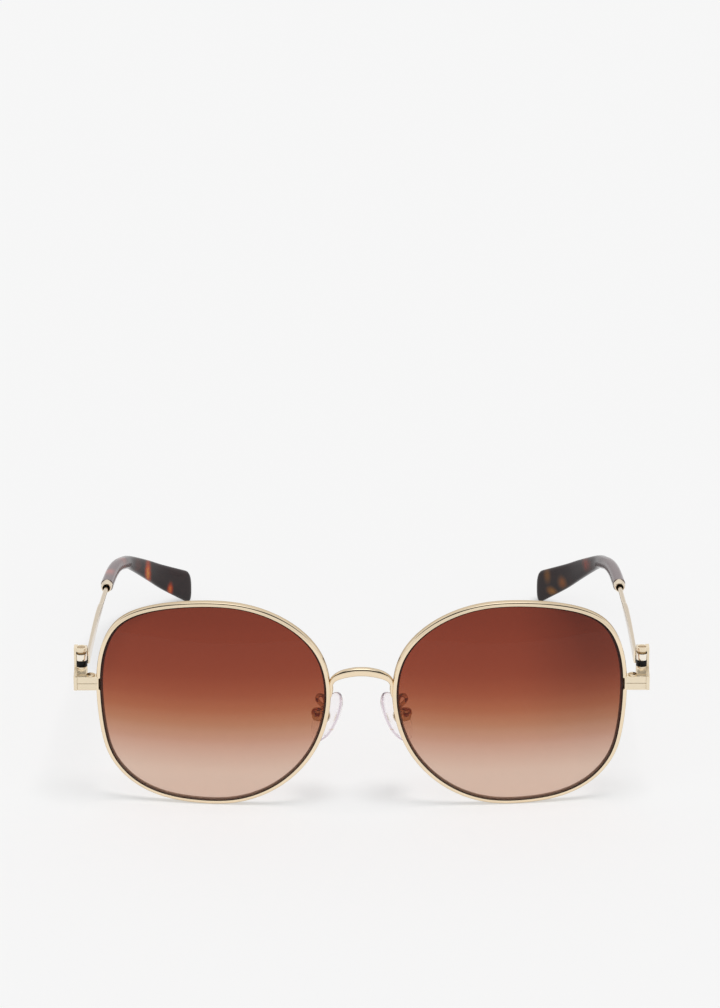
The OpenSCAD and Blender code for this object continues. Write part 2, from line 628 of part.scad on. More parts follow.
placed(1) rim();  // rim_left
placed(-1) rim();  // rim_right
placed(1) lens();  // lens_left
placed(-1) lens();  // lens_right
placed(1) bridge();
placed(1) lock_half(lock_z + split_gap / 2);  // lock_upper_left
placed(-1) lock_half(lock_z + split_gap / 2);  // lock_upper_right
placed(1) lock_half(lock_low);  // lock_lower_left
placed(-1) lock_half(lock_low);  // lock_lower_right
placed(1) lock_screw();  // lock_screw_left
placed(-1) lock_screw();  // lock_screw_right
placed(1) end_piece();  // end_piece_left
placed(-1) end_piece();  // end_piece_right
placed(1) hinge_spacer();  // hinge_spacer_left
placed(-1) hinge_spacer();  // hinge_spacer_right
placed(1) hinge_washer();  // hinge_washer_left
placed(-1) hinge_washer();  // hinge_washer_right
placed(1) hinge_screw();  // hinge_screw_left
placed(-1) hinge_screw();  // hinge_screw_right
placed(1) temple_knuckle();  // temple_knuckle_left
placed(-1) temple_knuckle();  // temple_knuckle_right
placed(1) temple();  // temple_left
placed(-1) temple();  // temple_right
placed(1) ferrule();  // ferrule_left
placed(-1) ferrule();  // ferrule_right
placed(1) temple_tip();  // temple_tip_left
placed(-1) temple_tip();  // temple_tip_right
placed(1) pad_arm();  // pad_arm_left
placed(-1) pad_arm();  // pad_arm_right
placed(1) pad_box();  // pad_box_left
placed(-1) pad_box();  // pad_box_right
placed(1) pad_core();  // pad_core_left
placed(-1) pad_core();  // pad_core_right
placed(1) pad_screw();  // pad_screw_left
placed(-1) pad_screw();  // pad_screw_right
placed(1) nose_pad();  // nose_pad_left
placed(-1) nose_pad();  // nose_pad_right
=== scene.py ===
"""Looks of the round wire sunglasses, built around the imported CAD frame."""

import math

import bpy
import numpy as np
from mathutils import Euler, Matrix, Vector

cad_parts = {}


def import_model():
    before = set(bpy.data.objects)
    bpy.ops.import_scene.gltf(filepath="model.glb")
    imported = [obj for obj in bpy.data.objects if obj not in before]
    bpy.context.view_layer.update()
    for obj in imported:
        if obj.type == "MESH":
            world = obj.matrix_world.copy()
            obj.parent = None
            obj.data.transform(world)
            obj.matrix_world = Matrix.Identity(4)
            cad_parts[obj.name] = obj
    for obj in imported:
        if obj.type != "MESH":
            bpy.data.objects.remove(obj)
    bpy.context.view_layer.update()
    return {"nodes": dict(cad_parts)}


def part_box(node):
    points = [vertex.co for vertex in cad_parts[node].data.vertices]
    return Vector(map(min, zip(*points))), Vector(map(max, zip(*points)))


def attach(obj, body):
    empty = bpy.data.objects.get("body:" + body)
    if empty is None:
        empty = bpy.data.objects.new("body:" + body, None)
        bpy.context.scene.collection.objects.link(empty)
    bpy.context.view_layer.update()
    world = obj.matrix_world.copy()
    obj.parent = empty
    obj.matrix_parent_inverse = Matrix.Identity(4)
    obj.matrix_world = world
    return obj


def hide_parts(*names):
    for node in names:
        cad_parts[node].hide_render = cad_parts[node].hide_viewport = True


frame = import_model()

MM = 0.001
SIDES = (("left", 1), ("right", -1))
# Fineness: steps between two points of a path, points round a bar and round a thin wire
PATH_STEPS, BAR_ROUND, WIRE_ROUND = 10, 32, 20

# Sizes in millimetres, the same as the solids have
LENS_A, LENS_B, LENS_GAP = 57.4, 53.6, 16.4
LENS_T, LENS_R, WRAP = 1.6, 88.0, math.radians(4)
RIM_W, RIM_D, GROOVE = 1.0, 1.8, 0.5
BRIDGE_RISE, BRIDGE_H, BRIDGE_D, BRIDGE_BOW, BRIDGE_LEG, LEG_W = 8.2, 2.2, 2.1, 0.8, 5.8, 1.05
LOCK_RISE, LOCK_H, LOCK_D, LOCK_LEN = 4.4, 1.8, 2.3, 4.8
PLATE_T, RELIEF_WALL, BARREL_R, BARREL_BACK = 0.85, 0.3, 1.45, 2.3
KNUCKLE_LOW, SPACER_H, KNUCKLE_MID = 4.8, 1.6, 1.75
TEMPLE_LEN, BLADE_H, BLADE_T, WIRE_R = 71.0, 3.2, 0.9, 0.6
FERRULE_R, MOUTH_R, FERRULE_LEN = 1.6, 1.25, 3.0
TIP_LEN, TIP_CURL, TIP_DROP, TIP_H, TIP_T = 53.5, 18.4, 13.9, 8.9, 2.8
PAD_LEN, PAD_W, PAD_T, PAD_SPAN, PAD_DROP, PAD_BACK = 14.2, 7.8, 2.5, 20.8, 4.8, 1.5
PAD_SPLAY, PAD_FLARE = math.radians(33), math.radians(28)
ARM_FOOT, ARM_LOOP, ARM_R, BOX_R = -2.4, 4.8, 0.5, 1.45
RUN_GAP, TURN_GAP, LENS_PLAY, SOLDER, SPLIT_GAP = 0.03, 0.32, 0.06, 0.3, 0.06

# Outline of a lens as shares of its half width and half height, as in the solids
LENS_SHAPE = np.array([
    (1, -.01), (.995, .355), (.9, .67), (.7, .86), (.38, .965), (.03, 1), (-.27, .975), (-.55, .87),
    (-.79, .685), (-.955, .42), (-1, .055), (-.925, -.31), (-.77, -.6), (-.525, -.84), (-.2, -.985),
    (.15, -.997), (.47, -.95), (.73, -.81), (.9, -.585), (.967, -.335)])
# Places on the outline between which it runs down the temple's side and the nose's side
TEMPLE_SIDE, NOSE_SIDE = (-2, 3), (7, 13)
# Rows of a tip: share of its length, curl, drop, growth in height, growth in thickness
TIP_SHAPE = np.array([
    (0, 0, 0, 0, 0), (.23, .034, -.02, 0, .1), (.38, .078, -.01, 0, .2), (.5, .142, .045, .03, .3),
    (.62, .225, .15, .1, .4), (.78, .46, .455, .44, .7), (.88, .67, .7, .7, .9), (1, 1, 1, 1, 1)])
# Rings of a tip's rounded end: distance past the path and width, as shares of the thickness
TIP_END = ((.2, .94), (.4, .78), (.52, .5))
# How much more the end's height shrinks than its thickness, and the power of a tip's section
TIP_CORNER, TIP_POWER = 2.2, 2.6
# Rings of a pad from its back to the nose: share of its thickness and of its outline. The last two close it.
PAD_RINGS = np.array([(0, .8), (.12, .95), (.36, 1), (.62, .94), (.84, .76), (.96, .48)])
PAD_CLOSE = [(.985, .36), (.997, .18)]

# How far a rim stands out from the lens's box, the middle of its depth, and its groove's half width
RIM_OUT = RIM_W - GROOVE
RIM_MID = RIM_D / 2
BEVEL_HALF = GROOVE * .7
# Height of the lenses' middles
LENS_H = LENS_B / 2 + RIM_OUT


def unit(v):
    """The same direction, one long."""
    v = np.asarray(v, float)
    return v / np.linalg.norm(v, axis=-1, keepdims=True)


def sag(u, v):
    """How far the sphere of the lens falls back at a place."""
    return LENS_R - np.sqrt(LENS_R * LENS_R - u * u - v * v)


# Middle of the left lens's front, before it is moved up
LENS_X = LENS_GAP / 2 + LENS_A / 2 * math.cos(WRAP) + sag(LENS_A / 2, 0) * math.sin(WRAP)
LENS_Y = -(LENS_A / 2 + RIM_OUT) * math.sin(WRAP) - sag(LENS_A / 2 + RIM_OUT, 0) * math.cos(WRAP)


def on_lens(u, v, d):
    """Points of the bent lens: u towards the temple, v up, d back from its front."""
    s = sag(u, v) + d
    return np.stack([LENS_X + u * math.cos(WRAP) - s * math.sin(WRAP),
                     LENS_Y + u * math.sin(WRAP) + s * math.cos(WRAP), LENS_H + v], -1)


# Control points that make the smooth curve pass close to the outline's points
PULLED = LENS_SHAPE - (np.roll(LENS_SHAPE, 1, 0) - 2 * LENS_SHAPE + np.roll(LENS_SHAPE, -1, 0)) / 6
SHAPE_N = len(LENS_SHAPE)


def closed_at(t):
    """Smooth closed curve; t counts the outline's points."""
    t = np.asarray(t, float)
    i = np.floor(t).astype(int)
    f = (t - i)[..., None]
    q = [PULLED[(i + k) % SHAPE_N] for k in (-1, 0, 1, 2)]
    return ((1 - f) ** 3 * q[0] + (3 * f ** 3 - 6 * f * f + 4) * q[1]
            + (-3 * f ** 3 + 3 * f * f + 3 * f + 1) * q[2] + f ** 3 * q[3]) / 6


# Box of the smooth curve, by which it is brought to the lens's size
BOX_STEPS = 12
FINE = closed_at(np.arange(SHAPE_N * BOX_STEPS) / BOX_STEPS)
SHAPE_LOW, SHAPE_HIGH = FINE.min(0), FINE.max(0)


def shape_at(t):
    """Outline of the lens in millimetres from its middle."""
    return ((closed_at(t) - SHAPE_LOW) / (SHAPE_HIGH - SHAPE_LOW) - .5) * (LENS_A, LENS_B)


def shape_normal(t, step=.05):
    """Direction square to the outline, outwards."""
    d = shape_at(np.asarray(t) + step) - shape_at(np.asarray(t) - step)
    return unit(np.stack([d[..., 1], -d[..., 0]], -1))


def edge_point(t, r, d):
    """A point of the rim: r out from the lens's box, d back from the front."""
    p = shape_at(t) + shape_normal(t) * np.asarray(r)[..., None]
    return on_lens(p[..., 0], p[..., 1], d)


def find(v, side, rising, halvings=40):
    """Place along one side of the outline that has the height v."""
    low, high = side
    for _ in range(halvings):
        mid = (low + high) / 2
        if (shape_at(mid)[1] < v) == rising:
            low = mid
        else:
            high = mid
    return (low + high) / 2


# Place of the rim locks on the outline
LOCK_AT = find(LOCK_RISE, TEMPLE_SIDE, True)


def open_curve(points, steps):
    """Smooth open curve through every point of a list."""
    p = np.asarray(points, float)
    p = np.vstack([2 * p[0] - p[1], p, 2 * p[-1] - p[-2]])
    out = []
    for i in range(1, len(p) - 2):
        a, b, c, d = p[i - 1:i + 3]
        for f in np.arange(steps) / steps:
            out.append(b + (c - a) * f / 2 + (2 * a - 5 * b + 4 * c - d) * f * f / 2
                       + (3 * b - a - 3 * c + d) * f ** 3 / 2)
    return np.array(out + [p[-2]])


def tangents(path):
    """Direction of a path at each of its points."""
    return unit(np.vstack([path[1] - path[0], path[2:] - path[:-2], path[-1] - path[-2]]))


def ring(c, side, up, w, h, power, count):
    """Ring w wide and h high round c: an ellipse at power 2, squarer above."""
    a = 2 * math.pi * np.arange(count) / count
    x = np.sign(np.cos(a)) * np.abs(np.cos(a)) ** (2 / power) * w / 2
    y = np.sign(np.sin(a)) * np.abs(np.sin(a)) ** (2 / power) * h / 2
    return c + x[:, None] * side + y[:, None] * up


def rings_along(path, up, w, h, power, count):
    """Rings round a path that keep one side up."""
    t = tangents(path)
    side = unit(np.cross(up, t))
    return [ring(path[i], side[i], np.cross(t[i], side[i]), w[i], h[i], power[i], count)
            for i in range(len(path))]


def pipe_rings(path, r, count):
    """Rings round a path, turned as little as possible from one to the next."""
    t = tangents(path)
    side = np.cross(t[0], unit(path[1] - path[0] + (0, 0, 1)))
    out = []
    for p, d in zip(path, t):
        side = unit(side - (side @ d) * d)
        out.append(ring(p, side, np.cross(d, side), 2 * r, 2 * r, 2, count))
    return out


# The solids were moved to the frame's origin along Y by this much
SHIFT_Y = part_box("lock_lower_left")[0][1] / MM


def make(name, points, faces, side, body, material, stands_for, sharp=60):
    """One visible piece. Points are in millimetres before the shift to the frame's origin."""
    p = np.array(points, float)
    p[:, 1] += SHIFT_Y
    if side < 0:
        p[:, 0] *= -1
        faces = [f[::-1] for f in faces]
    mesh = bpy.data.meshes.new(name)
    mesh.from_pydata((p * MM).tolist(), [], faces)
    mesh.validate()
    mesh.polygons.foreach_set("use_smooth", [True] * len(mesh.polygons))
    mesh.set_sharp_from_angle(angle=math.radians(sharp))
    mesh.materials.append(material)
    piece = bpy.data.objects.new(name, mesh)
    bpy.context.collection.objects.link(piece)
    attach(piece, body)
    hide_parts(*stands_for)
    return piece


def fan(first, count, centre):
    """Triangles between a ring and a point."""
    return [[first + (k + 1) % count, first + k, centre] for k in range(count)]


def skin(rings, closed=False, start=None, end=None):
    """Quads between rings of points, with a fan over each open end."""
    n, m = len(rings[0]), len(rings)
    points = [q for r in rings for q in r]
    faces = []
    for j in range(m if closed else m - 1):
        a, b = j * n, (j + 1) % m * n
        faces += [[a + k, a + (k + 1) % n, b + (k + 1) % n, b + k] for k in range(n)]
    for centre, first, flip in ((start, 0, False), (end, (m - 1) * n, True)):
        if centre is not None and not closed:
            lid = fan(first, n, len(points))
            points.append(centre)
            faces += [f[::-1] for f in lid] if flip else lid
    return points, faces


def lathe(profile, axis_point, axis, across, count=48):
    """Turns a closed profile of (radius, height) pairs round an axis."""
    axis = unit(axis)
    across = unit(across - (np.dot(across, axis)) * axis)
    third = np.cross(axis, across)
    rings = []
    for k in range(count):
        a = 2 * math.pi * k / count
        out = math.cos(a) * across + math.sin(a) * third
        rings.append([axis_point + r * out + h * axis for r, h in profile])
    return skin(rings, closed=True)


def fillet(corners, radii, steps=5, most=.49):
    """Rounds the corners of a closed outline; each takes at most that share of a side."""
    out = []
    c = np.asarray(corners, float)
    for i, r in enumerate(radii):
        p, a, b = c[i], c[i - 1], c[(i + 1) % len(c)]
        if r <= 0:
            out.append(p)
            continue
        u, v = unit(a - p), unit(b - p)
        reach = min(r / math.tan(math.acos(np.clip(u @ v, -1, 1)) / 2),
                    np.linalg.norm(a - p) * most, np.linalg.norm(b - p) * most)
        for k in range(steps + 1):
            f = k / steps
            out.append((1 - f) ** 2 * (p + u * reach) + 2 * f * (1 - f) * p + f * f * (p + v * reach))
    return np.array(out)


def paint(piece, name, values):
    """Writes values for a material to a piece's points; those of its two middles stay 0."""
    attribute = piece.data.attributes.new(name, "FLOAT", "POINT")
    attribute.data.foreach_set("value", values + [0.0, 0.0])


def second_material(piece, material, chosen):
    """Gives a further material to the faces with the chosen numbers."""
    piece.data.materials.append(material)
    for face in piece.data.polygons:
        if chosen(face.index):
            face.material_index = 1


# Materials

def new_material(name):
    """A material with its node tree and its shader."""
    material = bpy.data.materials.new(name)
    material.use_nodes = True
    tree = material.node_tree
    return material, tree, tree.nodes["Principled BSDF"]


def fill(tree, n, inputs):
    """Sets a node's inputs, by name or number, or links them where a socket is given."""
    for key, value in inputs.items():
        if isinstance(value, bpy.types.NodeSocket):
            tree.links.new(value, n.inputs[key])
        else:
            n.inputs[key].default_value = value


def node(tree, kind, inputs, **settings):
    """A new node with its settings and inputs."""
    n = tree.nodes.new(kind)
    for key, value in settings.items():
        setattr(n, key, value)
    fill(tree, n, inputs)
    return n


def ramp(tree, source, stops, mode="LINEAR"):
    """Colours by a value; the stops are (value, colour) pairs."""
    r = node(tree, "ShaderNodeValToRGB", {0: source})
    r.color_ramp.interpolation = mode
    e = r.color_ramp.elements
    while len(e) < len(stops):
        e.new(.5)
    for point, (at, colour) in zip(e, stops):
        point.position = at
        point.color = (*colour, 1)
    return r.outputs[0]


def spread(tree, value, low, high, start=0, end=1, kind="LINEAR"):
    """Turns start to end into low to high."""
    return node(tree, "ShaderNodeMapRange",
                {"Value": value, "From Min": start, "From Max": end, "To Min": low, "To Max": high},
                interpolation_type=kind).outputs[0]


def maths(tree, operation, a, b):
    """Two values put together."""
    return node(tree, "ShaderNodeMath", {0: a, 1: b}, operation=operation).outputs[0]


def mixed(tree, factor, a, b, blend="MIX"):
    """Two colours mixed."""
    return node(tree, "ShaderNodeMix", {"Factor": factor, "A": a, "B": b},
                data_type="RGBA", blend_type=blend).outputs["Result"]


def coordinates(tree, kind="Object"):
    """The place in the solid, or the direction for the world."""
    return tree.nodes.new("ShaderNodeTexCoord").outputs[kind]


def axes(tree, kind="Object"):
    """The three coordinates by their names."""
    return node(tree, "ShaderNodeSeparateXYZ", {0: coordinates(tree, kind)}).outputs


def painted(tree, name):
    """Values that were written to the mesh's points."""
    return node(tree, "ShaderNodeAttribute", {}, attribute_name=name).outputs["Fac"]


def noise(tree, scale, detail=3, roughness=.5, distortion=0.0, stretch=(1, 1, 1)):
    """Soft noise through the solid; a small stretch draws it out along that axis."""
    where = node(tree, "ShaderNodeMapping", {0: coordinates(tree), "Scale": stretch}).outputs[0]
    return node(tree, "ShaderNodeTexNoise", {
        "Vector": where, "Scale": scale, "Detail": detail, "Roughness": roughness,
        "Distortion": distortion}).outputs["Fac"]


def bump(tree, source, strength, distance):
    """Normals that follow the source as a relief, distance high in metres."""
    return node(tree, "ShaderNodeBump",
                {"Strength": strength, "Distance": distance, "Height": source}).outputs[0]


def grey(v):
    """A grey as colour sockets take it."""
    return v, v, v, 1


def srgb(r, g, b):
    """Linear colour from the values 0 to 255 of a picture."""
    return tuple((c / 255 / 12.92) if c <= 10 else ((c / 255 + .055) / 1.055) ** 2.4 for c in (r, g, b))


# Where the darker and the lighter tone of a surface lie in its noise
TONES = (.3, .7)


def metal(name, light, dark, low, high, grain=900, depth=2e-6, edge=(.5, .44, .38), lie=(1, 1, 1),
          metallic=1):
    """Plated metal: two close tones, a roughness from low to high and a fine grain that may lie one way."""
    material, tree, shader = new_material(name)
    cloud = noise(tree, 180, detail=4, stretch=lie)
    fine = noise(tree, grain, detail=5, roughness=.6, stretch=lie)
    fill(tree, shader, {
        "Metallic": metallic, "Specular Tint": (*edge, 1),
        "Base Color": ramp(tree, cloud, tuple(zip(TONES, (dark, light)))),
        "Roughness": spread(tree, fine, low, high),
        "Normal": bump(tree, fine, strength=.25, distance=depth)})
    return material


def plastic(name, light, dark, low, high, depth=4e-6):
    """Dull plastic: two close tones, a roughness from low to high and a fine grain."""
    material, tree, shader = new_material(name)
    fine = noise(tree, 1500, detail=4)
    fill(tree, shader, {
        "Specular IOR Level": .2, "Base Color": ramp(tree, fine, tuple(zip(TONES, (dark, light)))),
        "Roughness": spread(tree, fine, low, high),
        "Normal": bump(tree, fine, strength=.3, distance=depth)})
    return material


# Tint of a lens: height as a share of the lens's top, then the share of each colour let through
TINT = (
    (.05, (.73, .54, .44)), (.2, (.70, .50, .40)), (.33, (.59, .34, .245)), (.41, (.50, .235, .14)),
    (.485, (.43, .15, .075)), (.56, (.36, .095, .044)), (.66, (.29, .058, .026)), (.87, (.238, .042, .02)),
    (1, (.21, .035, .016)))
# Painted shadow in the tint: from where to where it grows outwards in mm and upwards as a share, and its
# darkening
# It stands for a shadow seen through the left lens.
PAINTED_SHADE_OUT, PAINTED_SHADE_UP, PAINTED_SHADE_TINT = (36, 56), (.1, 1), (.64, .64, .68, 1)


def lens_material():
    """Brown tint, dark above and fading out below, with a painted shadow at the upper outer side of the left
    lens.
    """
    material, tree, shader = new_material("lens_tint")
    where = axes(tree)
    height = spread(tree, where["Z"], 0, 1, 0, (LENS_H + LENS_B / 2) * MM)
    outward = spread(tree, where["X"], 0, 1, PAINTED_SHADE_OUT[0] * MM, PAINTED_SHADE_OUT[1] * MM, "SMOOTHSTEP")
    painted_shade = maths(tree, "MULTIPLY", outward, spread(tree, height, 0, 1, *PAINTED_SHADE_UP, "SMOOTHSTEP"))
    fill(tree, shader, {
        "Transmission Weight": 1, "IOR": 1.3, "Roughness": 0,
        "Base Color": mixed(tree, painted_shade, ramp(tree, height, TINT, "CARDINAL"), PAINTED_SHADE_TINT, "MULTIPLY")})
    return material


def ground_edge():
    """Matt ground edge of a lens, brown towards the back; its near black at the front is painted shade of the
    rim's groove.
    """
    material, tree, shader = new_material("lens_edge")
    grain = spread(tree, noise(tree, 1400, detail=4), -.12, .12)
    depth = maths(tree, "ADD", painted(tree, "deep"), grain)
    # The ramp's near black is painted shade of the groove; its browns are the tinted edge's own.
    fill(tree, shader, {
        "Roughness": .6, "Specular IOR Level": .1, "Base Color": ramp(
            tree, depth, ((.1, (.02, .008, .004)), (.3, (.12, .07, .045)), (1, (.3, .21, .16))))})
    return material


# Patches of the tips: centre and radii in mm, strength of the red, strength of the amber
PATCHES = (
    ((-59.1, 54.3, 13.2), (1.1, 6, 5.5), 1, .1), ((-53.5, 61.3, 5.6), (1.1, 5, 3.2), .85, 0),
    ((-67.8, 24, 26), (3, 5, 4), .4, 0), ((-65, 39, 23), (3, 6, 4), .36, 0),
    ((-61.6, 50, 17.5), (2, 4, 4), .26, 0),
    ((51.9, 62.4, 4.6), (1.7, 4, 1.5), 0, 1), ((50.6, 64, 8.5), (1.1, 4, 2.3), .1, .5),
    ((54.6, 59.6, 8.2), (1.5, 4, 2.2), .42, .55), ((60.7, 51.4, 17.4), (2.6, 4.2, 2.8), .46, 0))
# Where the two strengths stand in a patch
RED, AMBER = 2, 3
# How far a patch's soft edge reaches, in radii
PATCH_REACH = 1.3
# From where to where along Y, in mm, the acetate is lighter near the ferrule, and what that adds
# The lighter tone is partly smoky acetate thin round the wire core, partly painted sheen.
SMOKE_AND_SHEEN_Y, SMOKE_AND_SHEEN = (52, 34), (.16, .125, .13, 1)


def patch_field(tree, which):
    """Strength of the patches of one colour, softened towards their edges."""
    where = coordinates(tree)
    total = None
    for patch in PATCHES:
        centre, radii, strength = patch[0], patch[1], patch[which]
        if not strength:
            continue
        place = node(tree, "ShaderNodeVectorMath", {0: where, 1: [c * MM for c in centre]},
                     operation="SUBTRACT").outputs[0]
        scaled = node(tree, "ShaderNodeVectorMath", {0: place, 1: [r * MM for r in radii]},
                      operation="DIVIDE").outputs[0]
        far = node(tree, "ShaderNodeVectorMath", {0: scaled}, operation="LENGTH").outputs["Value"]
        near = spread(tree, far, 0, strength, PATCH_REACH, 0, "SMOOTHSTEP")
        total = near if total is None else maths(tree, "MAXIMUM", total, near)
    return total


def tortoise_material():
    """Dark acetate with red and amber patches, lighter near the ferrule: smoky round the wire core, with
    painted sheen.
    """
    material, tree, shader = new_material("tortoise_acetate")
    uneven = spread(tree, noise(tree, 260, roughness=.55, distortion=.6), -.08, .12, *TONES)
    red = ramp(tree, maths(tree, "ADD", patch_field(tree, RED), uneven), (
        (.0, srgb(44, 32, 33)), (.16, srgb(54, 38, 38)), (.34, srgb(94, 46, 38)), (.56, srgb(152, 52, 26)),
        (.78, srgb(208, 84, 28)), (1, srgb(238, 150, 62))))
    amber = mixed(tree, patch_field(tree, AMBER), red, (*srgb(158, 104, 40), 1))
    smoke_and_sheen = spread(tree, axes(tree)["Y"], 0, 1, SMOKE_AND_SHEEN_Y[0] * MM, SMOKE_AND_SHEEN_Y[1] * MM, "SMOOTHSTEP")
    fine = noise(tree, 420, detail=4)
    fill(tree, shader, {
        "Specular IOR Level": .3, "Base Color": mixed(tree, smoke_and_sheen, amber, SMOKE_AND_SHEEN, "ADD"),
        "Roughness": spread(tree, fine, .12, .22),
        "Normal": bump(tree, fine, strength=.15, distance=2e-5)})
    return material


def pad_material():
    """Clear soft plastic with a faint lilac tint, deepened in its round edge as painted shade of its outline.
    """
    material, tree, shader = new_material("clear_pad")
    cloud = noise(tree, 300)
    # The edge values deepen the lilac as painted shade of the outline a clear pad shows.
    edge_shade = maths(tree, "ADD", painted(tree, "edge"), spread(tree, cloud, -.03, .03))
    fill(tree, shader, {
        "Transmission Weight": 1, "IOR": 1.25,
        "Base Color": ramp(tree, edge_shade, (
            (.05, srgb(253, 250, 251)), (.45, srgb(247, 239, 243)), (1, srgb(174, 150, 165)))),
        "Roughness": spread(tree, cloud, .02, .08)})
    return material


GOLD = metal("gold_metal", (.94, .78, .57), (.90, .745, .535), .07, .14)
# A paler copy of the gold for the temple knuckles: painted highlight for their bright reflections.
PALE_GLINT_GOLD = metal("gold_metal_pale_glint", (.96, .90, .80), (.94, .87, .76), .06, .12)
# Brushed gold of the locks and end pieces; its lighter tone and part-diffuse surface are painted highlight.
BRUSHED_GLINT_GOLD = metal("gold_metal_brushed_glint", (.99, .86, .65), (.93, .79, .58), .2, .3, 700, 3e-6,
                edge=(.8, .75, .7), lie=(.06, .06, 1), metallic=.7)
WHITE_GOLD = metal("gold_metal_temple", (.93, .81, .64), (.90, .78, .61), .08, .15, edge=(.84, .81, .78))
# A darker copy of the gold for the pad arms and boxes: painted shade, as they sit behind the tinted lenses.
SHADED_GOLD = metal("gold_metal_shaded", (.74, .53, .33), (.68, .48, .29), .12, .2)
SCREW = metal("screw_steel", (.90, .76, .56), (.85, .70, .50), .12, .22)
# Dark brown of the hinge washers: a bronze part, darkened as painted shade of the seam between the knuckles.
BRONZE_SEAM_SHADE = metal("bronze", (.40, .27, .13), (.30, .19, .09), .2, .35)
CORE = metal("pad_core_metal", (.85, .80, .70), (.80, .74, .62), .15, .25)
# Black nylon of the hinge spacers, also the painted shade in the ferrules' holes.
NYLON_AND_HOLE_SHADE = plastic("black_nylon", (.004, .003, .003), (.002, .0015, .0015), .3, .45)
LENS = lens_material()
EDGE = ground_edge()
TORTOISE = tortoise_material()
PAD = pad_material()


# Rims

# Bottom of the groove, out from the lens's box, and the edge of the front lip where it is notched
GROOVE_BOTTOM, NOTCHED_LIP = .03, -.12
# Rounding of the corners of a rim's section, in their order
RIM_ROUND = [0, .04, .16, .38, .38, .16, .04]
# Half of the slit and of the notch at the rim lock, in points of the outline, as in the solids
NOTCH_FACTOR = 4.2
SLIT, NOTCH = SPLIT_GAP / LENS_B, LOCK_H * NOTCH_FACTOR / LENS_B
# How far past the notch the lip is whole again, and where the even rings start
LIP_WHOLE, LIP_EVEN = .02, .05


def rim_section(lip):
    """Section of a rim wire: how far out, how far back. The front lip's edge is given."""
    return fillet(
        [(GROOVE_BOTTOM, RIM_MID), (lip, RIM_MID - BEVEL_HALF), (lip, 0), (RIM_OUT, 0), (RIM_OUT, RIM_D),
         (-GROOVE, RIM_D), (-GROOVE, RIM_MID + BEVEL_HALF)],
        RIM_ROUND)


def rim(side_name, side, steps=24, notch_rings=6):
    """Rim wire that begins and ends at the slit of its lock."""
    even = np.arange(1, SHAPE_N * steps) / steps
    even = even[(even > NOTCH + LIP_EVEN) & (even < SHAPE_N - NOTCH - LIP_EVEN)]
    near = np.linspace(SLIT, NOTCH, notch_rings)
    places = np.concatenate([near, [NOTCH + LIP_WHOLE], even, [SHAPE_N - NOTCH - LIP_WHOLE],
                             SHAPE_N - near[::-1]])
    whole, notched = rim_section(-GROOVE), rim_section(NOTCHED_LIP)
    rings = []
    for s in places:
        beside_slit = min(s, SHAPE_N - s) < NOTCH + LIP_WHOLE / 2
        section = notched if beside_slit else whole
        rings.append(edge_point(np.full(len(section), LOCK_AT + s), section[:, 0], section[:, 1]))
    start, end = [edge_point(LOCK_AT + s, RIM_OUT / 2, RIM_MID) for s in (SLIT, SHAPE_N - SLIT)]
    points, faces = skin(rings, start=start, end=end)
    make(f"rim_wire_{side_name}", points, faces, side, "front", GOLD,
         [f"rim_{side_name}"], sharp=35)


# Lenses

# Rings of a lens's face as shares of its outline, and how far inside the edge they and the last one lie
LENS_RINGS = (.08, .25, .42, .58, .74, .88, .95)
RINGS_IN, LAST_IN = .1, .2
# Chamfer of the ground edge, room at the bevel's tip, and lean: at 1 the edge is square to the bent face
EDGE_CHAMFER, BEVEL_ROOM, EDGE_LEAN = .06, .02, 1.2


def lens(side_name, side, steps=20):
    """Lens with clear faces and a ground edge, whose bevel sits in the rim's groove."""
    front = (RIM_D - LENS_T) / 2
    back = front + LENS_T
    edge = -GROOVE - LENS_PLAY
    bevel = BEVEL_HALF - LENS_PLAY
    t = LOCK_AT + np.arange(SHAPE_N * steps) / steps

    def one(k, r, d):
        p = (shape_at(t) + shape_normal(t) * r) * k
        p = p * (1 - (d - front) * EDGE_LEAN / np.sqrt(LENS_R ** 2 - (p ** 2).sum(-1, keepdims=True)))
        return on_lens(p[:, 0], p[:, 1], d)

    # Rings from the back's middle to the front's: scale, place out from the lens's box, depth, and how
    # deep in the ground edge they lie
    face = [(k, edge - RINGS_IN) for k in LENS_RINGS] + [(1, edge - LAST_IN)]
    ground = [(edge - EDGE_CHAMFER, back, 1), (edge, back - EDGE_CHAMFER, 1), (edge, RIM_MID + bevel, .7),
              (-LENS_PLAY - BEVEL_ROOM, RIM_MID, .5), (edge, RIM_MID - bevel, .3),
              (edge, front + EDGE_CHAMFER, 0), (edge - EDGE_CHAMFER, front, 0)]
    rows = ([(k, r, back, 0) for k, r in face] + [(1, *row) for row in ground]
            + [(k, r, front, 0) for k, r in face[::-1]])
    points, faces = skin([one(k, r, d) for k, r, d, _ in rows],
                         start=on_lens(0., 0., back), end=on_lens(0., 0., front))
    piece = make(f"lens_glass_{side_name}", points, faces, side, "front", LENS,
                 [f"lens_{side_name}"], sharp=30)
    paint(piece, "deep", [row[3] for row in rows for _ in t])
    first = len(face) * len(t)
    second_material(piece, EDGE, lambda i: first <= i < first + (len(ground) - 1) * len(t))
    piece.visible_shadow = False


# Bridge

# Half of the bridge: shares of the leg's height, then angles of the arch in degrees, each with how far
# the section has grown from the leg's to the arch's
BRIDGE_FEET = [(0, -.45), (.3, -.1), (.55, 0)]
BRIDGE_ARCH = [(25, .4), (50, .85), (74, 1)]
BRIDGE_POWER = 2.4


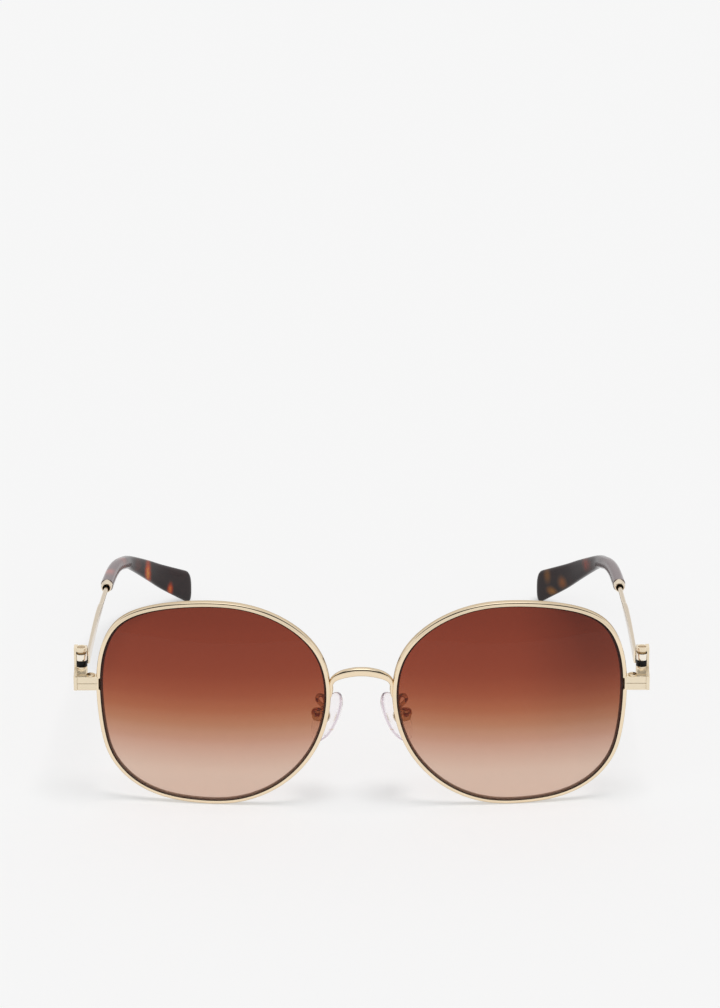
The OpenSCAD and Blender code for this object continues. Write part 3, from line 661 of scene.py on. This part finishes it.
def bridge():
    """Bridge: a leg up each rim and the arch between them, one bar."""
    low = LENS_H + BRIDGE_RISE - BRIDGE_LEG
    arch_z = LENS_H + BRIDGE_RISE + BRIDGE_H / 2

    def size_at(g):
        return np.array([LEG_W, RIM_D]) * (1 - g) + np.array([BRIDGE_H, BRIDGE_D]) * g

    def beside_rim(z, w):
        place = find(z - LENS_H, NOSE_SIDE, False)
        return edge_point(place, RIM_OUT, RIM_MID) + (SOLDER - w / 2, 0, 0)

    half = [beside_rim(low + BRIDGE_LEG * k, size_at(g)[0]) for k, g in BRIDGE_FEET]
    top = half[-1]
    for degrees, _ in BRIDGE_ARCH:
        c, s = math.cos(math.radians(degrees)), math.sin(math.radians(degrees))
        half.append(np.array([top[0] * c, top[1] - BRIDGE_BOW * s, top[2] + (arch_z - top[2]) * s]))
    grow = [g for _, g in BRIDGE_FEET + BRIDGE_ARCH]
    middle = np.array([0, top[1] - BRIDGE_BOW, arch_z])
    path = open_curve(half + [middle] + [p * (-1, 1, 1) for p in half[::-1]], PATH_STEPS)
    size = open_curve([size_at(g) for g in grow + [1] + grow[::-1]], PATH_STEPS)
    rings = rings_along(path, np.array([0, 1, 0]), size[:, 0], size[:, 1],
                        np.full(len(path), BRIDGE_POWER), BAR_ROUND)
    points, faces = skin(rings, start=path[0], end=path[-1])
    make("bridge_arch", points, faces, 1, "front", GOLD, ["bridge"])


# Places of the hinge and the temple

# How far inside the hinge's axis the blade's outer face lies, as a share of the barrel's radius
BLADE_ASIDE = .75
# How far inwards the wire bends before the ferrule, as a share of the difference of their radii
WIRE_BEND = .35
# The solids' own rings of a tip, which the pitch of the temple depends on: steps and points round it
SOLID_STEPS, SOLID_ROUND = 2, 12
# The ferrule's mouth: its depth as a share of the length, and its hole as a share of the mouth's radius
MOUTH_DEPTH, MOUTH_HOLE = .45, .8

LOCK_LOW = LENS_H + LOCK_RISE - LOCK_H
PLATE_IN = edge_point(LOCK_AT, RIM_OUT, RIM_MID)[0] + LOCK_LEN
PLATE_OUT = PLATE_IN + PLATE_T
HINGE = np.array([PLATE_OUT - RELIEF_WALL - RUN_GAP - BARREL_R, LOCK_D + BARREL_BACK, 0])
SPACER_Z = LOCK_LOW + KNUCKLE_LOW + RUN_GAP
MID_Z = SPACER_Z + SPACER_H + RUN_GAP
BLADE_Z = (MID_Z + KNUCKLE_MID + SPACER_Z) / 2
BLADE_X = -(BARREL_R * BLADE_ASIDE + BLADE_T / 2)
TIP_START = TEMPLE_LEN + FERRULE_LEN
TIP_SHIFT = -(FERRULE_R - WIRE_R) * WIRE_BEND


def tip_rings(steps, count, ends):
    """Path and rings of a tip, in the temple's own place, closed by the rings of its end."""
    rows = open_curve(TIP_SHAPE, steps)
    path = np.stack([BLADE_X + TIP_SHIFT - rows[:, 1] * TIP_CURL, TIP_START + rows[:, 0] * TIP_LEN,
                     -rows[:, 2] * TIP_DROP], -1)
    w = 2 * FERRULE_R + (TIP_T - 2 * FERRULE_R) * rows[:, 4]
    h = 2 * FERRULE_R + (TIP_H - 2 * FERRULE_R) * rows[:, 3]
    last, ahead = path[-1], unit(path[-1] - path[-2])
    path = np.vstack([path] + [last + ahead * (far * TIP_T) for far, _ in ends])
    w = np.concatenate([w, [TIP_T * wide for _, wide in ends]])
    h = np.concatenate([h, [TIP_H - (1 - wide) * TIP_T * TIP_CORNER for _, wide in ends]])
    dirs = tangents(path)
    dirs[0] = (0, 1, 0)
    return path, [ring(c, unit([d[1], -d[0], 0]), np.array([0, 0, 1.]), w[i], h[i], TIP_POWER, count)
                  for i, (c, d) in enumerate(zip(path, dirs))]


_, SOLID_RINGS = tip_rings(SOLID_STEPS, SOLID_ROUND, TIP_END)
# The temple is pitched down until its tip touches the floor
PITCH = min(math.atan2(p[2], p[1]) + math.asin(BLADE_Z / math.hypot(p[1], p[2]))
            for r in SOLID_RINGS for p in r)
BLADE_START = (math.sqrt((BARREL_R + TURN_GAP) ** 2 - (BARREL_R * BLADE_ASIDE) ** 2)
               + BLADE_H / 2 * math.sin(PITCH))


def in_temple(points):
    """From the temple's own place, where it runs along Y, to the pitched one at its hinge."""
    p = np.asarray(points, float)
    c, s = math.cos(PITCH), math.sin(PITCH)
    out = p.copy()
    out[..., 1] = p[..., 1] * c + p[..., 2] * s
    out[..., 2] = -p[..., 1] * s + p[..., 2] * c
    return out + (HINGE[0], HINGE[1], BLADE_Z)


def temple(side_name, side):
    """Flat blade that becomes a round wire."""
    # Rows: place along the temple, place across it, thickness, height, power of the section
    round_wire = (TIP_SHIFT, WIRE_R * 2, WIRE_R * 2, 2)
    rows = np.array([
        (BLADE_START, 0, BLADE_T, BLADE_H, 5), (6, 0, BLADE_T, BLADE_H, 5),
        (TEMPLE_LEN * .42, .15, BLADE_T * 1.2, BLADE_H * .8, 4.5),
        (TEMPLE_LEN * .64, .1, BLADE_T * 1.4, BLADE_H * .6, 4),
        (TEMPLE_LEN * .72, 0, BLADE_T * 1.45, WIRE_R * 2.6, 3.4),
        (TEMPLE_LEN * .78, -.1, WIRE_R * 2, WIRE_R * 2.1, 2),
        (TEMPLE_LEN, *round_wire), (TIP_START, *round_wire)])
    along, across, w, h, power = open_curve(rows, PATH_STEPS).T
    path = np.stack([BLADE_X + across, along, np.zeros(len(along))], -1)
    rings = rings_along(path, np.array([0, 0, 1.]), w, h, np.clip(power, 2, 5), BAR_ROUND)
    points, faces = skin([in_temple(r) for r in rings], start=in_temple(path[0]), end=in_temple(path[-1]))
    make(f"temple_bar_{side_name}", points, faces, side, f"temple_{side_name}_body", WHITE_GOLD,
         [f"temple_{side_name}"], sharp=50)


def ferrule(side_name, side, steps=4):
    """Ferrule whose mouth is black as painted shade in its hole, into which the wire runs."""
    depth, hole = FERRULE_LEN * MOUTH_DEPTH, MOUTH_R * MOUTH_HOLE
    profile = fillet(
        [(WIRE_R + RUN_GAP, depth), (hole, depth), (hole, 0), (MOUTH_R, 0), (FERRULE_R, FERRULE_LEN),
         (WIRE_R + RUN_GAP, FERRULE_LEN)],
        [0, .05, .08, .12, .05, 0], steps)
    base = in_temple([BLADE_X + TIP_SHIFT, TEMPLE_LEN, 0])
    ahead = in_temple([BLADE_X + TIP_SHIFT, TEMPLE_LEN + 1, 0]) - base
    points, faces = lathe(profile, base, ahead, np.array([1., 0, 0]))
    piece = make(f"ferrule_ring_{side_name}", points, faces, side, f"temple_{side_name}_body", WHITE_GOLD,
                 [f"ferrule_{side_name}"], sharp=35)
    # The profile starts with the mouth's floor, its rounded corner, its wall and a step of the next corner
    # These faces take the black as painted shade in the hole.
    second_material(piece, NYLON_AND_HOLE_SHADE, lambda i: i % len(profile) < 1 + steps + 1 + 1)


# Rounded end of a tip: its rings by angle in degrees, how far it reaches past the path and how narrow
# it gets, both as shares of the thickness, the power of its roundness and the last step that closes it
END_ANGLES = (15, 30, 45, 58, 70, 80)
END_REACH, END_NARROW, END_POWER, END_STEP = .56, .35, .8, .01


def temple_tip(side_name, side, steps=8):
    """Acetate tip with a rounded end."""
    ends = [(END_REACH * math.sin(a), END_NARROW + (1 - END_NARROW) * math.cos(a) ** END_POWER)
            for a in map(math.radians, END_ANGLES)]
    path, rings = tip_rings(steps, BAR_ROUND, ends)
    end = path[-1] + unit(path[-1] - path[-2]) * END_STEP
    points, faces = skin([in_temple(r) for r in rings], start=in_temple(path[0]), end=in_temple(end))
    make(f"tip_acetate_{side_name}", points, faces, side, f"temple_{side_name}_body", TORTOISE,
         [f"temple_tip_{side_name}"])


# Nose pads

PAD_AT = np.array([PAD_SPAN / 2, PAD_BACK, LENS_H - PAD_DROP])
PAD_FACE = -BOX_R
# How much narrower a pad is above
PAD_TAPER = .12
# Where the painted edge shade lies, as a share of the pad's thickness, and how far from there it fades out
EDGE_SHADE_AT, EDGE_SHADE_REACH = .24, .2

# An arm's turns, in loop heights: the loop's top from the pad, the wire's way out of the rim, the loop
# round its top, and the way to the box as (along the pad's own X, then across, back, up)
LOOP_TOP = np.array([.165, -.085, 1])
LOOP_OUT = np.array([.19, .23, .27])
LOOP = np.array([(-.105, -.125, -.145), (0, 0, 0), (-.105, .25, .085), (-.335, .27, 0), (-.415, .06, -.25),
                 (-.31, -.125, -.52)])
TO_BOX = ((.21, (-.105, 0, .27)), (.19, (0, 0, .06)))


def in_pad(points):
    """From a pad's own place, where its thickness lies along X, to its splayed and flared one."""
    p = np.asarray(points, float)
    c, s = math.cos(PAD_SPLAY), math.sin(PAD_SPLAY)
    x, y, z = p[..., 0] * c + p[..., 1] * s, -p[..., 0] * s + p[..., 1] * c, p[..., 2]
    c, s = math.cos(PAD_FLARE), math.sin(PAD_FLARE)
    return np.stack([x * c - z * s, y, x * s + z * c], -1) + PAD_AT


PAD_X = in_pad([1., 0, 0]) - PAD_AT


def nose_pad(side_name, side, steps=4, count=64):
    """Clear pad, a cushion that is a little narrower above."""
    a = 2 * math.pi * np.arange(count) / count
    y, z = np.sin(a), np.cos(a)
    rings = []
    edge_shades = []
    for depth, scale in list(open_curve(PAD_RINGS, steps)[:-1]) + PAD_CLOSE:
        edge_shades.append(max(0, 1 - abs(depth - EDGE_SHADE_AT) / EDGE_SHADE_REACH))
        rings.append(in_pad(np.stack([np.full(count, PAD_FACE - depth * PAD_T),
                                      y * scale * PAD_W / 2 * (1 - PAD_TAPER * z),
                                      z * scale * PAD_LEN / 2], -1)))
    points, faces = skin(rings, start=in_pad([PAD_FACE, 0, 0]), end=in_pad([PAD_FACE - PAD_T, 0, 0]))
    piece = make(f"pad_clear_{side_name}", points, faces, side, f"pad_{side_name}_body", PAD,
                 [f"nose_pad_{side_name}"])
    paint(piece, "edge", [shade for shade in edge_shades for _ in a])


def pad_arm(side_name, side):
    """Sprung wire from the rim over its loop to the pad box."""
    foot = edge_point(find(ARM_FOOT, NOSE_SIDE, False), (RIM_OUT - GROOVE) / 2, RIM_D)
    top = PAD_AT + LOOP_TOP * ARM_LOOP
    back = PAD_AT + PAD_X * BOX_R
    turns = [foot, foot + LOOP_OUT * ARM_LOOP, *(top + LOOP * ARM_LOOP),
             *(back + (PAD_X * k + rest) * ARM_LOOP for k, rest in TO_BOX), back - PAD_X * SOLDER]
    path = open_curve(turns, PATH_STEPS)
    points, faces = skin(pipe_rings(path, ARM_R, WIRE_ROUND), start=path[0], end=path[-1])
    make(f"arm_wire_{side_name}", points, faces, side, "front", SHADED_GOLD,
         [f"pad_arm_{side_name}"])


for side_name, side in SIDES:
    rim(side_name, side)
    lens(side_name, side)
    temple(side_name, side)
    ferrule(side_name, side)
    temple_tip(side_name, side)
    nose_pad(side_name, side)
    pad_arm(side_name, side)
bridge()


# CAD nodes that stay: their material, and the width in mm that softens their edges
KEPT = {
    "lock_upper": (BRUSHED_GLINT_GOLD, .14), "lock_lower": (BRUSHED_GLINT_GOLD, .14), "end_piece": (BRUSHED_GLINT_GOLD, .12),
    "temple_knuckle": (PALE_GLINT_GOLD, .07), "pad_box": (SHADED_GOLD, .08), "lock_screw": (SCREW, .04),
    "hinge_screw": (SCREW, .04), "pad_screw": (SCREW, .03), "hinge_spacer": (NYLON_AND_HOLE_SHADE, .05),
    "hinge_washer": (BRONZE_SEAM_SHADE, .04), "pad_core": (CORE, .04),
}
WELD_REACH, SOFT_STEPS, SOFT_ANGLE = 1e-6, 3, math.radians(35)
for stem, (material, width) in KEPT.items():
    for side_name, _ in SIDES:
        o = frame["nodes"][f"{stem}_{side_name}"]
        o.data.materials.clear()
        o.data.materials.append(material)
        weld = o.modifiers.new("weld", "WELD")
        weld.merge_threshold = WELD_REACH
        soft = o.modifiers.new("edges", "BEVEL")
        soft.width = width * MM
        soft.segments = SOFT_STEPS
        soft.limit_method = "ANGLE"
        soft.angle_limit = SOFT_ANGLE
        soft.harden_normals = True


# Floor, light and camera

# The photo's background, and the plain light of the world and of the lamp that add up to 1
PAPER = .93
WORLD_LIGHT, LAMP = .5, .5
# What the floor scatters, and its glow that makes it as light as the background
FLOOR_DIFFUSE = .52
FLOOR_GLOW = PAPER - FLOOR_DIFFUSE * (WORLD_LIGHT + LAMP)
FLOOR_HALF = 6.0
# Where the lamp comes from, and its width in degrees
LAMP_FROM, LAMP_WIDTH = (.15, -.1, 1), 26
# Greys of the mirrored studio before and behind the frame, by the height of the direction
BEFORE = [(0, .75), (.3, .88), (.38, .88), (.47, .05), (.87, .03), (.935, 1.3), (.965, 1.5), (1, 1.7)]
BEHIND = [(0, .75), (.3, .9), (.6, .86), (.88, .62), (.93, .7), (.965, 1.5), (1, 1.7)]
# From where to where along Y of the direction the first turns into the second
BEFORE_ENDS = (-.15, .2)
# A ramp's colours end at 1, so it holds the greys divided by this
GREY_SCALE = 2


def light_path(tree, *kinds):
    """1 for the kinds of ray that are named."""
    path = tree.nodes.new("ShaderNodeLightPath")
    out = path.outputs[kinds[0]]
    for kind in kinds[1:]:
        out = maths(tree, "MAXIMUM", out, path.outputs[kind])
    return out


def floor():
    """Paper that takes shadows and glows for the camera and in mirrors."""
    mesh = bpy.data.meshes.new("floor")
    corners = [(x * FLOOR_HALF, y * FLOOR_HALF, 0) for x, y in ((-1, -1), (1, -1), (1, 1), (-1, 1))]
    mesh.from_pydata(corners, [], [(0, 1, 2, 3)])
    plane = bpy.data.objects.new("floor", mesh)
    bpy.context.collection.objects.link(plane)
    material = bpy.data.materials.new("floor_paper")
    material.use_nodes = True
    tree = material.node_tree
    tree.nodes.clear()
    shown = light_path(tree, "Is Camera Ray", "Is Glossy Ray", "Is Transmission Ray")
    paper = node(tree, "ShaderNodeBsdfDiffuse", {"Color": grey(FLOOR_DIFFUSE)}).outputs[0]
    glow = node(tree, "ShaderNodeEmission",
                {"Strength": maths(tree, "MULTIPLY", shown, FLOOR_GLOW)}).outputs[0]
    both = node(tree, "ShaderNodeAddShader", {0: paper, 1: glow}).outputs[0]
    node(tree, "ShaderNodeOutputMaterial", {"Surface": both})
    mesh.materials.append(material)


def world():
    """Even light; what metal mirrors is a white studio, dark above the camera, with a soft box overhead."""
    w = bpy.data.worlds.new("studio")
    bpy.context.scene.world = w
    w.use_nodes = True
    tree = w.node_tree
    where = axes(tree, "Generated")
    before, behind = [ramp(tree, where["Z"], [(at, (v / GREY_SCALE,) * 3) for at, v in greys])
                      for greys in (BEFORE, BEHIND)]
    back = spread(tree, where["Y"], 0, 1, *BEFORE_ENDS, "SMOOTHSTEP")
    mirrored = node(tree, "ShaderNodeVectorMath", {0: mixed(tree, back, before, behind), "Scale": GREY_SCALE},
                    operation="SCALE").outputs[0]
    lit = mixed(tree, light_path(tree, "Is Glossy Ray"), grey(WORLD_LIGHT), mirrored)
    seen = mixed(tree, light_path(tree, "Is Camera Ray", "Is Transmission Ray"), lit, grey(PAPER))
    fill(tree, tree.nodes["Background"], {"Color": seen, "Strength": 1})


def overhead(name, towards, width, power):
    """A far soft lamp, the same over the whole floor."""
    light = bpy.data.lights.new(name, "SUN")
    light.angle = math.radians(width)
    light.energy = power
    lamp = bpy.data.objects.new(name, light)
    bpy.context.collection.objects.link(lamp)
    lamp.location = towards
    lamp.visible_glossy = False
    lamp.rotation_euler = Vector(towards).to_track_quat("Z", "Y").to_euler()


floor()
world()
overhead("soft_box", LAMP_FROM, LAMP_WIDTH, LAMP * math.pi)

# The camera that was fitted to the photo. It aims at a point above the floor, whose distance from there
# across the line of sight is given in metres.
ELEVATION, AZIMUTH, ROLL, DISTANCE = math.radians(21.5), math.radians(.35), math.radians(-.2), 1.1
AIM = .0741
PHOTO_H, FOCAL_PX, CENTRE_X, SENSOR_H = 1008, 4500, .9, 24
camera_data = bpy.data.cameras.new("camera")
camera_data.sensor_fit = "VERTICAL"
camera_data.sensor_height = SENSOR_H
camera_data.lens = FOCAL_PX * SENSOR_H / PHOTO_H
camera_data.shift_x = -CENTRE_X / PHOTO_H
camera = bpy.data.objects.new("camera", camera_data)
bpy.context.collection.objects.link(camera)
reach = DISTANCE * math.cos(ELEVATION)
camera.location = (reach * math.sin(AZIMUTH), SHIFT_Y * MM - reach * math.cos(AZIMUTH),
                   AIM / math.cos(ELEVATION) + DISTANCE * math.sin(ELEVATION))
camera.rotation_euler = (Euler((math.pi / 2 - ELEVATION, 0, AZIMUTH)).to_matrix()
                         @ Matrix.Rotation(ROLL, 3, "Z")).to_euler()
bpy.context.scene.camera = camera
bpy.context.scene.view_settings.view_transform = "Standard"
